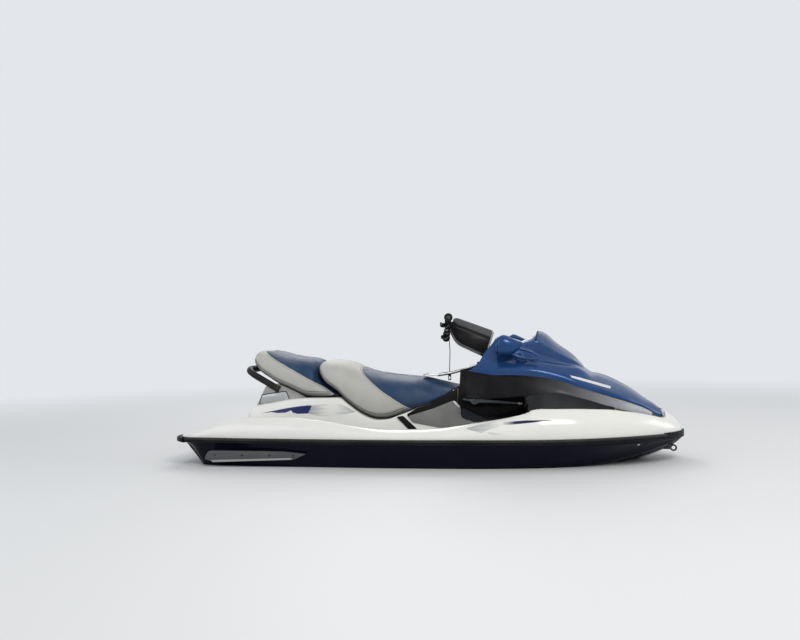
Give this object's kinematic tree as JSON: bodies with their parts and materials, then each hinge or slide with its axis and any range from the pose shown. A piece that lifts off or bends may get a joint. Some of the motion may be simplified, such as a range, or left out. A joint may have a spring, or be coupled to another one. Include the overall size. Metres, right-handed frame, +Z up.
{
  "type": "personal watercraft",
  "caption": "Three-seat jet-drive personal watercraft with steered handlebar and nozzle, impeller, reverse bucket, opening hood and glove box.",
  "frame": {"origin": "amidships on the centre plane at the waterline", "axes": "+X forward to the bow, +Y to port, +Z up"},
  "size_m": [3.1199, 1.2178, 1.0612],
  "materials": {
    "gelcoat_navy": "gloss gelcoat",
    "gelcoat_white": "gloss gelcoat",
    "rail_black": "satin moulded bumper",
    "plate_alloy": "cast, painted clear",
    "pump_alloy": "cast",
    "engine_alloy": null,
    "support_grey": "fine grain",
    "handle_black": "fine grain",
    "seat_vinyl": "marine vinyl, silver grey and blue",
    "console_black": "fine grain",
    "bin_black": "plain moulding",
    "lever_silver": "satin",
    "mat_black": "ribbed mat",
    "eye_steel": "polished",
    "sponson_grey": "satin",
    "band_charcoal": "metallic, charcoal to silver",
    "trim_dark": "fine grain",
    "panel_grey": "fine grain",
    "cover_black": "satin",
    "pad_grey": "soft pad",
    "bar_steel": "black coated",
    "grip_rubber": "ribbed",
    "lever_black": "satin",
    "cord_black": "woven cord",
    "hood_blue": "metallic blue paint",
    "mirror_glass": "mirror",
    "lid_white": "gloss",
    "nozzle_black": "satin",
    "bucket_black": "satin",
    "impeller_steel": "machined",
    "shaft_steel": "turned"
  },
  "bodies": {
    "hull": {"lower_hull": "gelcoat_navy", "upper_deck": "gelcoat_white", "rub_rail": "rail_black", "bow_bumper": "rail_black", "stern_bumper": "rail_black", "ride_plate": "plate_alloy", "intake_grate": "plate_alloy", "jet_pump_housing": "pump_alloy", "engine_block": "engine_alloy", "rear_support": "support_grey", "grab_handle": "handle_black", "rear_seat": "seat_vinyl", "front_seat": "seat_vinyl", "console": "console_black", "glove_box": "console_black", "storage_bin": "bin_black", "instrument_panel": "console_black", "shift_lever": "lever_silver", "deck_mats": "mat_black", "tow_eyes": "eye_steel", "sponson_left": "sponson_grey", "sponson_right": "sponson_grey", "side_panel_left": "band_charcoal", "side_panel_right": "band_charcoal", "front_trims": "trim_dark", "seat_base_panels": "panel_grey"},
    "handlebar": {"steering_column": "console_black", "steering_cover": "cover_black", "steering_pad": "pad_grey", "handlebar_tube": "bar_steel", "handlebar_grips": "grip_rubber", "throttle_lever": "lever_black", "switch_housing": "lever_black", "lanyard_cord": "cord_black", "lanyard_clip": "lever_black"},
    "hood": {"hood": "hood_blue", "wind_deflector": "hood_blue", "mirror_left": "hood_blue", "mirror_right": "hood_blue", "mirror_glasses": "mirror_glass"},
    "glove_box_lid": {"glove_box_lid": "lid_white"},
    "steering_nozzle": {"steering_nozzle": "nozzle_black"},
    "reverse_bucket": {"reverse_bucket": "bucket_black"},
    "impeller": {"impeller": "impeller_steel", "drive_shaft": "shaft_steel"}
  },
  "joints": [
    {"name": "steering", "type": "hinge", "parent": "hull", "child": "handlebar", "pos_m": [0.33, 0, 0.66], "axis": [-0.7071, 0, 0.7071], "range_deg": [-37, 7]},
    {"name": "nozzle_turn", "type": "hinge", "parent": "hull", "child": "steering_nozzle", "pos_m": [-1.445, 0, -0.066], "axis": [0, 0, 1], "range_deg": [-7, 37]},
    {"name": "bucket_tilt", "type": "hinge", "parent": "hull", "child": "reverse_bucket", "pos_m": [-1.452, 0, -0.066], "axis": [0, -1, 0], "range_deg": [0, 70]},
    {"name": "impeller_spin", "type": "hinge", "parent": "hull", "child": "impeller", "pos_m": [-1.24, 0, -0.066], "axis": [1, 0, 0], "continuous": true},
    {"name": "hood_open", "type": "hinge", "parent": "hull", "child": "hood", "pos_m": [1.396, 0, 0.293], "axis": [0, 1, 0], "range_deg": [0, 60]},
    {"name": "glove_box_open", "type": "hinge", "parent": "hull", "child": "glove_box_lid", "pos_m": [0.318, 0, 0.5905], "axis": [0, 1, 0], "range_deg": [0, 18]}
  ],
  "couplings": [
    {"joint": "nozzle_turn", "follows": "steering", "ratio": -1}
  ]
}
